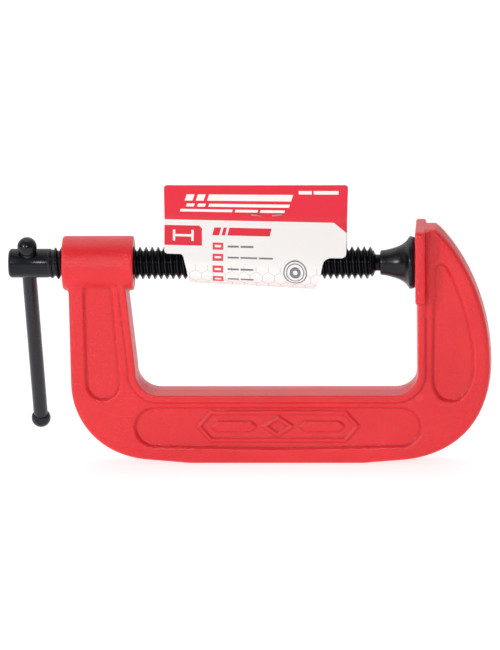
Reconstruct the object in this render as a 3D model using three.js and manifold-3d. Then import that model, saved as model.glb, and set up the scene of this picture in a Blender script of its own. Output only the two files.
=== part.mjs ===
// A 100 mm G clamp (C clamp): a cast C-shaped frame, a threaded screw with a sliding
// T-handle, and a swivelling pad, with the printed hang card folded round the screw.
// Millimetres. +X runs along the screw from the handle to the anvil, +Z is up.
// The origin is the middle of the spine's flat underside.
import * as THREE from 'three';
import { mergeVertices } from 'three/addons/utils/BufferGeometryUtils.js';
import Module from 'manifold-3d';

const wasm = await Module();
wasm.setup();

// ---- Driving dimensions ----
const GAP = 0.3; // clearance between neighbouring pieces

const AXIS_Z = 84; // height of the screw's axis over the underside
const ANVIL_X = 58; // the anvil's clamping face
const BOSS_INNER_X = -58.2; // end of the boss that faces the pad
const BOSS_LENGTH = 29.4;
const BOSS_RADIUS = 11.25;

const WEB_HALF = 8.25; // half thickness of the casting between its ribs
const RIB_HALF = 9.25; // half thickness across the rib round the throat
const RIB_WIDTH = 3.7;
const POCKET_DEPTH = 1.1; // how deep the panels are sunk into each side
const SPINE_TOP = 30.4; // height of the throat's floor
const ARM_FOOT_X = -57.2; // the left arm's inner edge low down
const ARM_HEAD_X = -61.6; // and where it runs into the boss
const THROAT_RIGHT_X = 58.2;
const LEFT_CORNER = 9; // radius of the throat's left corner
const RIGHT_CORNER = 9;

const ANVIL_THICK = 4.1;
const ANVIL_WIDTH = 30;
const ANVIL_LOW = AXIS_Z - 15;
const ANVIL_HIGH = AXIS_Z + 15.7;

const PITCH = 2.5;
const THREAD_RADIUS = 6.75; // crest of the thread
const ROOT_RADIUS = 5;
const THREAD_START_X = -93.5;
const THREAD_TURNS = 52;
const THREAD_SEGMENTS = 16;
const HEAD_END_X = -110;
const HEAD_RADIUS = 6;
const NECK_RADIUS = 3.4;
const SCREW_BALL_RADIUS = 4.3;

const PAD_LENGTH = 14.3;
const PAD_FACE_X = ANVIL_X - GAP;
const PAD_BACK_X = PAD_FACE_X - PAD_LENGTH;
const SCREW_BALL_X = PAD_BACK_X + 6;

const HANDLE_X = -102; // centre of the cross hole in the screw's head
const HANDLE_LEAN = THREE.MathUtils.degToRad(30.3); // from upright, top towards -Y
const BAR_RADIUS = 3;
const BALL_RADIUS = 4.1;
const BALL_SEAT = 9; // centre of the upper ball from the screw's axis
const BALL_SPAN = 97.5; // between the centres of the two balls

const CARD_THICK = 0.5;
const CARD_LEFT_X = -45.4;
const CARD_RIGHT_X = 30.5;
const CARD_HIGH = AXIS_Z + 32.8;
const CARD_WAIST = AXIS_Z + 5.2; // below this the card is cut narrower
const CARD_LOW = AXIS_Z - 8.9;
const STAPLE_Z = AXIS_Z + 20.3;
const STAPLE_X = -3.2;
const STAPLE_SPAN = 12.6;
const WIRE = 0.6;

// ---- Materials ----
const finish = (color, roughness, metalness = 0) =>
  new THREE.MeshStandardMaterial({ color, roughness, metalness });
const redEnamel = finish(0xd6222f, 0.42);
const blackOxide = finish(0x17181a, 0.35, 0.6);
const printedCard = finish(0xf1f0ee, 0.6);
const brightWire = finish(0xb9bbbd, 0.3, 1);

// ---- Helpers: meshes to solids and back ----
function solidOf(geometry) {
  const bare = geometry.index ? geometry.toNonIndexed() : geometry.clone();
  bare.deleteAttribute('normal');
  bare.deleteAttribute('uv');
  const merged = mergeVertices(bare, 1e-4);
  return new wasm.Manifold(new wasm.Mesh({
    numProp: 3,
    vertProperties: new Float32Array(merged.attributes.position.array),
    triVerts: new Uint32Array(merged.index.array),
  }));
}

function geometryOf(solid) {
  const { vertProperties, triVerts, numProp } = solid.getMesh();
  const position = new Float32Array((vertProperties.length / numProp) * 3);
  for (let i = 0; i < position.length / 3; i++) {
    position.set(vertProperties.subarray(i * numProp, i * numProp + 3), i * 3);
  }
  const geometry = new THREE.BufferGeometry();
  geometry.setAttribute('position', new THREE.BufferAttribute(position, 3));
  geometry.setIndex(new THREE.BufferAttribute(new Uint32Array(triVerts), 1));
  geometry.computeVertexNormals();
  return geometry;
}

// An outline drawn in X and Z, made a plate of the given half thickness about Y = 0.
function plate(shape, half, chamfer = 0, curveSegments = 10) {
  const geometry = new THREE.ExtrudeGeometry(shape, {
    depth: 2 * (half - chamfer),
    bevelEnabled: chamfer > 0,
    bevelThickness: chamfer,
    bevelSize: chamfer,
    bevelOffset: -chamfer,
    bevelSegments: 1,
    curveSegments,
  });
  geometry.translate(0, 0, chamfer - half);
  return solidOf(geometry.rotateX(Math.PI / 2));
}

// A turned piece about the screw's axis, from points of [x, radius].
function turned(profile, segments = 32) {
  const points = profile.map(([x, radius]) => new THREE.Vector2(radius, x));
  const geometry = new THREE.LatheGeometry(points, segments);
  return geometry.rotateZ(-Math.PI / 2).rotateX(Math.PI).translate(0, 0, AXIS_Z);
}

// ---- Frame ----
function outerOutline() {
  const shape = new THREE.Shape();
  shape.moveTo(-85.7, AXIS_Z);
  shape.lineTo(-85.3, 34);
  shape.bezierCurveTo(-85.1, 18.6, -74.3, 3.6, -54.6, 1.6);
  shape.bezierCurveTo(-49, 1.1, -44, 0.75, -36, 0);
  shape.lineTo(36, 0);
  shape.bezierCurveTo(44, 0.75, 50, 1.1, 54.9, 1.6);
  shape.bezierCurveTo(76.5, 4.7, 89.1, 19.8, 89.1, 42.5);
  shape.bezierCurveTo(89.1, 79.3, 67.9, 99.6, 66.5, ANVIL_HIGH + 0.2);
  shape.lineTo(ANVIL_X + 1, ANVIL_HIGH + 0.2);
  shape.lineTo(THROAT_RIGHT_X, ANVIL_LOW);
  return shape;
}

// The edge of the throat, from the anvil down, along the spine and up to the boss.
// inset moves it into the metal.
function throatEdge(path, inset) {
  const right = THROAT_RIGHT_X + inset;
  const floor = SPINE_TOP - inset;
  const slope = (ARM_HEAD_X - ARM_FOOT_X) / (AXIS_Z - SPINE_TOP);
  const cornerR = RIGHT_CORNER + inset;
  const cornerL = LEFT_CORNER + inset;
  const footX = ARM_FOOT_X - inset;
  const lean = Math.atan(-slope);
  const centreX = footX + cornerL;
  path.lineTo(right, floor + cornerR);
  path.absarc(right - cornerR, floor + cornerR, cornerR, 0, -Math.PI / 2, true);
  path.absarc(centreX, floor + cornerL, cornerL, -Math.PI / 2, Math.PI + lean, true);
  path.lineTo(footX + slope * (AXIS_Z - SPINE_TOP), AXIS_Z);
}

function ribOutline() {
  const edge = new THREE.Path();
  edge.moveTo(THROAT_RIGHT_X, ANVIL_LOW + 2);
  throatEdge(edge, 0);
  const back = new THREE.Path();
  back.moveTo(THROAT_RIGHT_X + RIB_WIDTH, ANVIL_LOW + 2);
  throatEdge(back, RIB_WIDTH);
  const points = edge.getPoints(6);
  return new THREE.Shape([...points, ...back.getPoints(6).reverse()]);
}

// The sunk panels of the left arm, the spine and the right arm.
function pocketOutlines() {
  const leftArm = new THREE.Shape();
  leftArm.moveTo(-79.7, AXIS_Z - 8);
  leftArm.lineTo(-79.2, 35);
  leftArm.bezierCurveTo(-79, 24.5, -64.4, 24, -63.8, 35);
  leftArm.lineTo(-66.8, AXIS_Z - 8);

  const spine = new THREE.Shape();
  const low = 7;
  const high = SPINE_TOP - RIB_WIDTH - 0.8;
  const middle = (low + high) / 2;
  const round = (high - low) / 2;
  spine.absarc(-59.3 + round, middle, round, Math.PI / 2, -Math.PI / 2, false);
  spine.absarc(60.8 - round, middle, round, -Math.PI / 2, Math.PI / 2, false);

  const rightArm = new THREE.Shape();
  rightArm.moveTo(63.9, 38);
  rightArm.bezierCurveTo(63.9, 28, 69, 26.2, 72.7, 26.2);
  rightArm.bezierCurveTo(79, 26.2, 82.6, 34, 82.6, 43);
  rightArm.bezierCurveTo(82.6, 56, 78, 72, 71.8, 83.4);
  rightArm.bezierCurveTo(69.6, 87, 65.2, 87, 64.9, 82);
  return [leftArm, spine, rightArm];
}

function frameSolid() {
  const outline = outerOutline();
  throatEdge(outline, 0);
  let casting = plate(outline, WEB_HALF, 0.8);
  casting = casting.add(plate(ribOutline(), RIB_HALF));

  const bossOuterX = BOSS_INNER_X - BOSS_LENGTH;
  const boss = solidOf(turned([
    [bossOuterX, 0],
    [bossOuterX, BOSS_RADIUS - 1.2],
    [bossOuterX + 1.2, BOSS_RADIUS],
    [BOSS_INNER_X - 1.2, BOSS_RADIUS],
    [BOSS_INNER_X, BOSS_RADIUS - 1.2],
    [BOSS_INNER_X, 0],
  ], 40));
  casting = casting.add(boss);

  const corner = 2;
  const halfWidth = ANVIL_WIDTH / 2;
  const face = new THREE.Shape();
  face.absarc(halfWidth - corner, ANVIL_HIGH - corner, corner, 0, Math.PI / 2, false);
  face.absarc(corner - halfWidth, ANVIL_HIGH - corner, corner, Math.PI / 2, Math.PI, false);
  face.absarc(corner - halfWidth, ANVIL_LOW + corner, corner, Math.PI, 1.5 * Math.PI, false);
  face.absarc(halfWidth - corner, ANVIL_LOW + corner, corner, 1.5 * Math.PI, 2 * Math.PI, false);
  const anvil = new THREE.ExtrudeGeometry(face, {
    depth: ANVIL_THICK, bevelEnabled: false, curveSegments: 3,
  });
  anvil.rotateX(Math.PI / 2).rotateZ(Math.PI / 2).translate(ANVIL_X, 0, 0);
  casting = casting.add(solidOf(anvil));

  for (const outlineOfPocket of pocketOutlines()) {
    const floor = WEB_HALF - POCKET_DEPTH;
    const cutter = plate(outlineOfPocket, POCKET_DEPTH, 0, 8);
    for (const side of [-1, 1]) {
      casting = casting.subtract(cutter.translate([0, side * (floor + POCKET_DEPTH), 0]));
    }
  }
  const bore = THREAD_RADIUS + GAP;
  return casting.subtract(solidOf(turned([
    [bossOuterX - 1, 0],
    [bossOuterX - 1, bore],
    [BOSS_INNER_X + 1, bore],
    [BOSS_INNER_X + 1, 0],
  ], 32)));
}

// ---- Screw ----
// A right-hand V thread: rows of root and crest points wound round the core, each row half
// a pitch on from the last, so that the end of one turn is the start of the next.
function threadSolid() {
  const rows = 2 * THREAD_TURNS;
  const position = [];
  const vertex = (x, angle, radius) => {
    position.push(x, radius * Math.sin(angle), AXIS_Z + radius * Math.cos(angle));
    return position.length / 3 - 1;
  };
  const step = (2 * Math.PI) / THREAD_SEGMENTS;
  const grid = [];
  for (let row = 0; row <= rows; row++) {
    const radius = row % 2 === 0 ? ROOT_RADIUS : THREAD_RADIUS;
    const along = THREAD_START_X + (row / 2) * PITCH;
    grid.push([]);
    for (let k = 0; k < THREAD_SEGMENTS; k++) {
      grid[row].push(vertex(along + (k / THREAD_SEGMENTS) * PITCH, -k * step, radius));
    }
  }
  for (const extra of [1, 2]) {
    const radius = extra === 1 ? THREAD_RADIUS : ROOT_RADIUS;
    const along = THREAD_START_X + ((rows + extra) / 2) * PITCH;
    grid.push([vertex(along, 0, radius)]);
  }
  const at = (row, k) => (k < THREAD_SEGMENTS ? grid[row][k] : grid[row + 2][0]);
  const index = [];
  const quad = (a, b, c, d) => index.push(a, b, c, a, c, d);
  for (let row = 0; row < rows; row++) {
    for (let k = 0; k < THREAD_SEGMENTS; k++) {
      quad(at(row, k), at(row, k + 1), at(row + 1, k + 1), at(row + 1, k));
    }
  }
  // Each end is closed by a slightly smaller ring, a disc and the thread's cut face.
  const inner = ROOT_RADIUS - GAP;
  const startX = THREAD_START_X - PITCH / 2;
  const endX = THREAD_START_X + (THREAD_TURNS + 1.5) * PITCH;
  const ring = (x) => Array.from({ length: THREAD_SEGMENTS }, (_, k) => vertex(x, -k * step, inner));
  const startRing = ring(startX);
  const endRing = ring(endX);
  const startHub = vertex(startX, 0, 0);
  const endHub = vertex(endX, 0, 0);
  for (let k = 0; k < THREAD_SEGMENTS; k++) {
    const next = (k + 1) % THREAD_SEGMENTS;
    quad(startRing[k], startRing[next], at(0, k + 1), at(0, k));
    quad(at(rows, k), at(rows, k + 1), endRing[next], endRing[k]);
    index.push(startHub, startRing[next], startRing[k]);
    index.push(endHub, endRing[k], endRing[next]);
  }
  index.push(startRing[0], grid[0][0], grid[2][0]);
  index.push(grid[0][0], grid[1][0], grid[2][0]);
  index.push(endRing[0], grid[rows + 2][0], grid[rows][0]);
  index.push(grid[rows][0], grid[rows + 2][0], grid[rows + 1][0]);
  const geometry = new THREE.BufferGeometry();
  geometry.setAttribute('position', new THREE.Float32BufferAttribute(position, 3));
  geometry.setIndex(index);
  return solidOf(geometry);
}

// The direction of the handle bar, up towards its upper ball.
const handleUp = new THREE.Vector3(0, -Math.sin(HANDLE_LEAN), Math.cos(HANDLE_LEAN));
const handleHole = new THREE.Vector3(HANDLE_X, 0, AXIS_Z);

// A round bar between two distances along the handle's line.
function barAlongHandle(from, to, radius, segments) {
  const points = [
    new THREE.Vector2(0, from),
    new THREE.Vector2(radius, from),
    new THREE.Vector2(radius, to),
    new THREE.Vector2(0, to),
  ];
  const geometry = new THREE.LatheGeometry(points, segments);
  return geometry.rotateX(Math.PI / 2 + HANDLE_LEAN).translate(...handleHole);
}

function screwSolid() {
  const threadEndX = THREAD_START_X + THREAD_TURNS * PITCH;
  const ballSteps = 6;
  const neckAngle = Math.asin(NECK_RADIUS / SCREW_BALL_RADIUS);
  const ball = [];
  for (let i = 0; i <= ballSteps; i++) {
    const angle = Math.PI - neckAngle - ((Math.PI - neckAngle) * i) / ballSteps;
    const radius = i === ballSteps ? 0 : SCREW_BALL_RADIUS * Math.sin(angle);
    ball.push([SCREW_BALL_X + SCREW_BALL_RADIUS * Math.cos(angle), radius]);
  }
  const shank = solidOf(turned([
    [HEAD_END_X, 0],
    [HEAD_END_X, HEAD_RADIUS - 0.8],
    [HEAD_END_X + 0.8, HEAD_RADIUS],
    [THREAD_START_X - PITCH / 4, HEAD_RADIUS],
    [THREAD_START_X + PITCH / 4, ROOT_RADIUS - 0.1],
    [threadEndX + PITCH / 2, ROOT_RADIUS - 0.1],
    [threadEndX + PITCH / 2 + 1.5, NECK_RADIUS],
    ...ball,
  ], 24));
  const hole = solidOf(barAlongHandle(-9, 9, BAR_RADIUS + GAP, 16));
  return shank.add(threadSolid()).subtract(hole);
}

// ---- Swivel pad ----
// A bell-shaped shoe, with a socket whose lip is closed in behind the screw's ball.
function padGeometry() {
  const socket = SCREW_BALL_RADIUS + GAP;
  const mouth = NECK_RADIUS + GAP;
  const lipAngle = Math.PI - Math.asin(mouth / socket);
  const steps = 6;
  const inside = [];
  for (let i = 0; i <= steps; i++) {
    const angle = (lipAngle * i) / steps;
    const radius = i === 0 ? 0 : socket * Math.sin(angle);
    inside.push([SCREW_BALL_X + socket * Math.cos(angle), radius]);
  }
  const at = (x) => PAD_BACK_X + x;
  return turned([
    ...inside,
    [at(0), mouth],
    [at(0), 4.6],
    [at(0.5), 5.1],
    [at(1.9), 5.25],
    [at(4.1), 5.75],
    [at(6.2), 6.35],
    [at(8.2), 7.15],
    [at(10), 8.3],
    [at(11.3), 9.7],
    [at(12), 10.8],
    [at(12.6), 10.9],
    [at(PAD_LENGTH - 0.2), 10.4],
    [PAD_FACE_X, 10.2],
    [PAD_FACE_X, 0],
  ], 32);
}

// ---- Handle ----
const lowerBallAt = BALL_SEAT - BALL_SPAN;
const ballBottom = Math.sqrt(BALL_RADIUS ** 2 - BAR_RADIUS ** 2);

// A ball drilled blind for the bar's end, which is pressed into it.
function handleBall(distance, towardsBar) {
  const drill = BALL_RADIUS - 1.6;
  const sphere = solidOf(new THREE.SphereGeometry(BALL_RADIUS, 20, 12).rotateX(Math.PI / 2)
    .rotateX(HANDLE_LEAN)
    .translate(...handleHole.clone().addScaledVector(handleUp, distance)));
  const ends = [distance - towardsBar * (drill - GAP), distance + towardsBar * (BALL_RADIUS + 1)];
  const bore = barAlongHandle(Math.min(...ends), Math.max(...ends), BAR_RADIUS + GAP / 10, 20);
  return sphere.subtract(solidOf(bore));
}

// ---- Hang card ----
// A strip of board folded round the screw: a loop below, both panels pressed flat above.
function cardSolid() {
  const loopZ = AXIS_Z - 1;
  const outside = loopZ - CARD_LOW;
  const inside = outside - CARD_THICK;
  const pinchZ = AXIS_Z + 19;
  const tangent = Math.asin(outside / (pinchZ - loopZ));
  const section = new THREE.Shape();
  section.moveTo(CARD_THICK, CARD_HIGH);
  section.lineTo(-CARD_THICK, CARD_HIGH);
  section.lineTo(-CARD_THICK, pinchZ);
  section.absarc(0, loopZ, outside, Math.PI - tangent, tangent, false);
  section.lineTo(CARD_THICK, pinchZ);
  const loop = new THREE.Path();
  loop.absarc(0, loopZ, inside, Math.PI - tangent, tangent, false);
  loop.lineTo(0, pinchZ - 1.5);
  section.holes.push(loop);
  const width = CARD_RIGHT_X - CARD_LEFT_X;
  const strip = new THREE.ExtrudeGeometry(section, {
    depth: width, bevelEnabled: false, curveSegments: 16,
  });
  strip.rotateX(Math.PI / 2).rotateZ(Math.PI / 2).translate(CARD_LEFT_X, 0, 0);

  const corner = 1.3;
  const outline = new THREE.Shape();
  const top = CARD_HIGH;
  outline.absarc(CARD_RIGHT_X - corner, top - corner, corner, 0, Math.PI / 2, false);
  outline.absarc(CARD_LEFT_X + corner, top - corner, corner, Math.PI / 2, Math.PI, false);
  outline.absarc(CARD_LEFT_X + corner, CARD_WAIST + corner, corner, Math.PI, 1.5 * Math.PI, false);
  outline.lineTo(-39.5, CARD_WAIST);
  outline.bezierCurveTo(-38, CARD_WAIST, -37.6, AXIS_Z + 4, -37.4, AXIS_Z + 2.5);
  outline.lineTo(-34.6, CARD_LOW - 1);
  outline.lineTo(15.6, CARD_LOW - 1);
  outline.lineTo(19.9, AXIS_Z + 2.2);
  outline.bezierCurveTo(20.4, AXIS_Z + 3.4, 20.8, CARD_WAIST - 1, 22.4, CARD_WAIST - 1);
  outline.lineTo(CARD_RIGHT_X - 2.2, CARD_WAIST - 1);
  outline.lineTo(CARD_RIGHT_X - 0.4, CARD_WAIST + 1.5);

  const slot = WIRE / 2 + GAP;
  let card = solidOf(strip).intersect(plate(outline, 12, 0, 6));
  for (const x of [STAPLE_X - STAPLE_SPAN / 2, STAPLE_X + STAPLE_SPAN / 2]) {
    const leg = new THREE.BoxGeometry(2 * slot, 4, 2 * slot).translate(x, 0, STAPLE_Z);
    card = card.subtract(solidOf(leg));
  }
  return card;
}

// One wire: the crown lies behind the card, the legs come through and are clinched in front.
function stapleSolid() {
  const back = CARD_THICK + GAP + WIRE / 2;
  const legX = STAPLE_SPAN / 2;
  const crown = new THREE.BoxGeometry(STAPLE_SPAN + WIRE, WIRE, WIRE)
    .translate(STAPLE_X, back, STAPLE_Z);
  let wire = solidOf(crown);
  for (const side of [-1, 1]) {
    const leg = new THREE.BoxGeometry(WIRE, 2 * back + WIRE, WIRE)
      .translate(STAPLE_X + side * legX, 0, STAPLE_Z);
    const tip = new THREE.BoxGeometry(4, WIRE, WIRE)
      .translate(STAPLE_X + side * (legX - 2 + WIRE / 2), -back, STAPLE_Z);
    wire = wire.add(solidOf(leg)).add(solidOf(tip));
  }
  return wire;
}

// ---- The object ----
const clamp = new THREE.Group();

function addPiece(name, geometry, material) {
  const mesh = new THREE.Mesh(geometry, material);
  mesh.name = name;
  clamp.add(mesh);
}

addPiece('frame', geometryOf(frameSolid()), redEnamel);
addPiece('screw', geometryOf(screwSolid()), blackOxide);
addPiece('swivel_pad', padGeometry(), blackOxide);
addPiece('handle_bar', barAlongHandle(
  lowerBallAt - ballBottom / 2, BALL_SEAT + ballBottom / 2, BAR_RADIUS, 20), blackOxide);
addPiece('ball_end_upper', geometryOf(handleBall(BALL_SEAT, -1)), blackOxide);
addPiece('ball_end_lower', geometryOf(handleBall(lowerBallAt, 1)), blackOxide);
addPiece('hang_card', geometryOf(cardSolid()), printedCard);
addPiece('staple', geometryOf(stapleSolid()), brightWire);

export default clamp;
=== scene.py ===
# A 100 mm C clamp: the looks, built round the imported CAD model.
import math

import bpy
import numpy
from mathutils import Matrix, Vector


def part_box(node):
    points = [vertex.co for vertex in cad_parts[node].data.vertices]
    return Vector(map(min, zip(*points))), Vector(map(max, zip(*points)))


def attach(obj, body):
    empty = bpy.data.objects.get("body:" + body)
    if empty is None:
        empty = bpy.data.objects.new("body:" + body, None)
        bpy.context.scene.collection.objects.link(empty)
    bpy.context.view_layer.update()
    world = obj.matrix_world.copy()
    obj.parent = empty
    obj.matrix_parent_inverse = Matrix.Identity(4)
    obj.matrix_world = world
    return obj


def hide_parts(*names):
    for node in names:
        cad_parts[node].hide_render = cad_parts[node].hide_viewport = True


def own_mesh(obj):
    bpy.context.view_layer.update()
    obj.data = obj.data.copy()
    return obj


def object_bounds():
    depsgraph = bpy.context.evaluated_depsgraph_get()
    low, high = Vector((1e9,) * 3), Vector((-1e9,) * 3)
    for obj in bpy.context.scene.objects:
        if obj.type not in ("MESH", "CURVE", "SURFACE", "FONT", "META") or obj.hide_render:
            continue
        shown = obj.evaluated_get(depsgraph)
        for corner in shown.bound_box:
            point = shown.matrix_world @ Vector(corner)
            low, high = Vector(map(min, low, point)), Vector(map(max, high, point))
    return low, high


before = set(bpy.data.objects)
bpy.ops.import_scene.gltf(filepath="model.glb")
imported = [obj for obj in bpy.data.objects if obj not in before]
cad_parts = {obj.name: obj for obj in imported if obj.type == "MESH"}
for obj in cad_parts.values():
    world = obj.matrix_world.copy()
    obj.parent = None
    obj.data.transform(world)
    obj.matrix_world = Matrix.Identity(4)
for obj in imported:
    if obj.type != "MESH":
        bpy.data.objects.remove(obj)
cad_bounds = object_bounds()

# ---- Camera ----
# A long lens a little above the clamp and a little to its right, tipped a touch clockwise.
# Its aim is worked out from the CAD model's own box.
MM = 0.001  # a millimetre, in metres
low, high = (Vector(corner) for corner in cad_bounds)
aim = Vector(((low.x + high.x) / 2 - 0.2 * MM, 0, (low.z + high.z) / 2 - 0.7 * MM))
AZIMUTH, ELEVATION, ROLL = (math.radians(angle) for angle in (2.9, 12.75, -0.71))
DISTANCE = 2.38
WIDTH_SEEN = 0.2067  # metres across the picture at the clamp
IMAGE_SHAPE = 650 / 500

view_from = Vector((math.sin(AZIMUTH) * math.cos(ELEVATION),
                    -math.cos(AZIMUTH) * math.cos(ELEVATION),
                    math.sin(ELEVATION)))
bpy.ops.object.camera_add(location=aim + view_from * DISTANCE)
camera = bpy.context.object
camera.name = "camera"
camera.rotation_euler = (view_from.to_track_quat("Z", "Y").to_matrix()
                         @ Matrix.Rotation(ROLL, 3, "Z")).to_euler()
camera.data.lens = camera.data.sensor_width * DISTANCE / (WIDTH_SEEN * IMAGE_SHAPE)
camera.data.clip_end = 20
bpy.context.scene.camera = camera

# ---- Floor and light ----
# A white floor in a studio that is bright behind and above the clamp and dim towards the
# camera and along the horizon. The key light is close above the camera, with a small one to
# its left for the sharp highlights, a broad softbox on each side and one hung overhead.
bpy.context.scene.view_settings.view_transform = "Standard"


def add(tree, kind, inputs=None, **settings):
    """Adds a node: inputs are values, or sockets to link from, and settings are its own."""
    made = tree.nodes.new(kind)
    for name, value in settings.items():
        setattr(made, name, value)
    for name, value in (inputs or {}).items():
        if isinstance(value, bpy.types.NodeSocket):
            tree.links.new(value, made.inputs[name])
        else:
            made.inputs[name].default_value = value
    return made


world = bpy.data.worlds.new("studio")
bpy.context.scene.world = world
world.use_nodes = True
studio = world.node_tree
backdrop = studio.nodes["Background"]
direction = add(studio, "ShaderNodeTexCoord").outputs["Generated"]
axes = add(studio, "ShaderNodeSeparateXYZ", {"Vector": direction})
fades = []
for axis, dark_at, bright_at, darkest in (("Y", -0.4, 0.5, 0.1), ("Z", -0.02, 0.25, 0.15)):
    fade = add(studio, "ShaderNodeMapRange", {
        "Value": axes.outputs[axis], "From Min": dark_at, "From Max": bright_at,
        "To Min": darkest})
    fades.append(fade.outputs["Result"])
glow = add(studio, "ShaderNodeMath", {0: fades[0], 1: fades[1]}, operation="MULTIPLY")
studio.links.new(glow.outputs["Value"], backdrop.inputs["Strength"])
backdrop.inputs["Color"].default_value = (1, 1, 1, 1)

for place, size, power in (((-0.15, -1.6, 0.62), 0.28, 7.2), ((-1.05, -1.17, 0.5), 0.2, 7.5),
                           ((-1.6, -1.5, 1.5), 1.2, 4.5), ((1.7, -1.3, 1.6), 1.2, 1.2),
                           ((0, 0.5, 1.9), 1.8, 8)):
    bpy.ops.object.light_add(type="AREA", location=place)
    softbox = bpy.context.object
    softbox.data.size = size
    softbox.data.energy = power
    softbox.rotation_euler = (Vector(place) - aim).to_track_quat("Z", "Y").to_euler()

bpy.ops.mesh.primitive_plane_add(size=8)
floor = bpy.context.object
floor.name = "floor"
floor_paint = bpy.data.materials.new("white studio floor")
floor_paint.use_nodes = True
floor_shader = floor_paint.node_tree.nodes["Principled BSDF"]
for name, value in (("Base Color", (0.4, 0.4, 0.4, 1)), ("Roughness", 0.9),
                    ("Emission Color", (1, 1, 1, 1)), ("Emission Strength", 0.74)):
    floor_shader.inputs[name].default_value = value
floor.data.materials.append(floor_paint)

# ---- Frame casting ----
# The C-shaped frame is one iron casting, drafted both ways from a parting line round its
# middle, with a rib round the throat, sunk panels, a threaded boss and the anvil. It is
# dipped in thick red enamel, which rounds every edge and fills every corner.
WEB_HALF = 8.25  # half the web's thickness
RIB_HALF = 9.25
RIB_WIDTH = 4.3
PANEL_DEPTH = 1.1
EDGE_ROUND = 1.8
RIB_ROUND = 0.5
DRAFT = math.tan(math.radians(4.5))
BOSS_RADIUS = 11.25
BOSS_LONG = 29.4
BORE_RADIUS = 7.05
BORE_CHAMFER = 0.8
VOXEL = 0.4
MOST_TRIANGLES = 185000
SPINE_TOP = 30.4
THROAT_LEFT = -57.2
THROAT_RIGHT = 58.2
THROAT_CORNER = 9
ARM_LEFT = -85.7  # the left arm's outer edge
ARM_LEAN = 4.4  # how far the left arm leans out, from the spine to the screw's axis

screw_low, screw_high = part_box("screw")
pad_low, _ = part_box("swivel_pad")
frame_low, frame_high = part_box("frame")
AXIS_Z = (screw_low.z + screw_high.z) / 2 / MM
BOSS_LEFT = frame_low.x / MM
BOSS_RIGHT = BOSS_LEFT + BOSS_LONG
ANVIL_X = 58  # the anvil's clamping face
ANVIL_THICK = 4.1
ANVIL_WIDE = 30
ANVIL_CORNER = 2
ANVIL_EDGE = 0.7
ARM_TOP = frame_high.z / MM
ANVIL_HIGH = ARM_TOP - 0.2
ANVIL_TALL = 30.7


def arc(x, z, radius, start, end, steps=8):
    """Points of (x, z) on an arc, with its angles in degrees from +X towards +Z."""
    angles = [math.radians(start + (end - start) * i / steps) for i in range(steps + 1)]
    return [(x + radius * math.cos(a), z + radius * math.sin(a)) for a in angles]


def bezier(a, b, c, d, steps=12):
    """Points on a cubic curve from a to d, with a itself left out."""
    points = []
    for i in range(1, steps + 1):
        t = i / steps
        points.append(tuple((1 - t) ** 3 * p + 3 * (1 - t) ** 2 * t * q
                            + 3 * (1 - t) * t * t * r + t ** 3 * s
                            for p, q, r, s in zip(a, b, c, d)))
    return points


def select(obj):
    """Leaves obj alone selected and active, in object mode."""
    if bpy.context.mode != "OBJECT":
        bpy.ops.object.mode_set(mode="OBJECT")
    bpy.ops.object.select_all(action="DESELECT")
    obj.select_set(True)
    bpy.context.view_layer.objects.active = obj


def outline_face(points, y, inwards=False):
    """One flat face in X and Z with a corner at each point, facing out or into the metal."""
    bpy.ops.object.select_all(action="DESELECT")
    bpy.ops.mesh.primitive_circle_add(vertices=len(points), fill_type="NGON")
    obj = bpy.context.object
    for corner, (x, z) in zip(obj.data.vertices, points):
        corner.co = (x * MM, y * MM, z * MM)
    obj.data.update()
    if (obj.data.polygons[0].normal.y > 0) != inwards:
        obj.data.flip_normals()
    return obj


def build_up(obj, steps):
    """Carries the face up in steps of (inset, rise), in mm."""
    select(obj)
    bpy.ops.object.mode_set(mode="EDIT")
    bpy.ops.mesh.select_all(action="SELECT")
    for inset, rise in steps:
        bpy.ops.mesh.inset(thickness=inset * MM, depth=rise * MM)
    bpy.ops.object.mode_set(mode="OBJECT")


def close_back(obj):
    """Fills the open edge that a built-up face leaves behind it."""
    select(obj)
    bpy.ops.object.mode_set(mode="EDIT")
    bpy.ops.mesh.select_all(action="DESELECT")
    bpy.ops.mesh.select_non_manifold()
    bpy.ops.mesh.edge_face_add()
    bpy.ops.mesh.select_all(action="SELECT")
    bpy.ops.mesh.normals_make_consistent(inside=False)
    bpy.ops.object.mode_set(mode="OBJECT")


def rounding(radius, steps=4):
    """Steps of (inset, rise) round a quarter circle, from a wall over onto its face."""
    turns = [math.pi / 2 * i / steps for i in range(steps + 1)]
    return [(radius * (math.cos(a) - math.cos(b)), radius * (math.sin(b) - math.sin(a)))
            for a, b in zip(turns, turns[1:])]


def modify(obj, kind, **settings):
    """Adds a modifier with its settings and applies it."""
    select(obj)
    bpy.ops.object.modifier_add(type=kind)
    modifier = obj.modifiers[-1]
    for name, value in settings.items():
        setattr(modifier, name, value)
    bpy.ops.object.modifier_apply(modifier=modifier.name)


def mirror(obj):
    modify(obj, "MIRROR", use_axis=(False, True, False), merge_threshold=MM / 1000)
    return obj


def join(*parts):
    """Makes one object of several, named by the first."""
    select(parts[0])
    for part in parts:
        part.select_set(True)
    bpy.ops.object.join()
    return parts[0]


def cut(obj, tool, operation="DIFFERENCE"):
    """Cuts obj with the tool, or joins it to obj, and takes the tool away."""
    modify(obj, "BOOLEAN", object=tool, operation=operation, solver="EXACT")
    bpy.data.objects.remove(tool, do_unlink=True)


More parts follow.
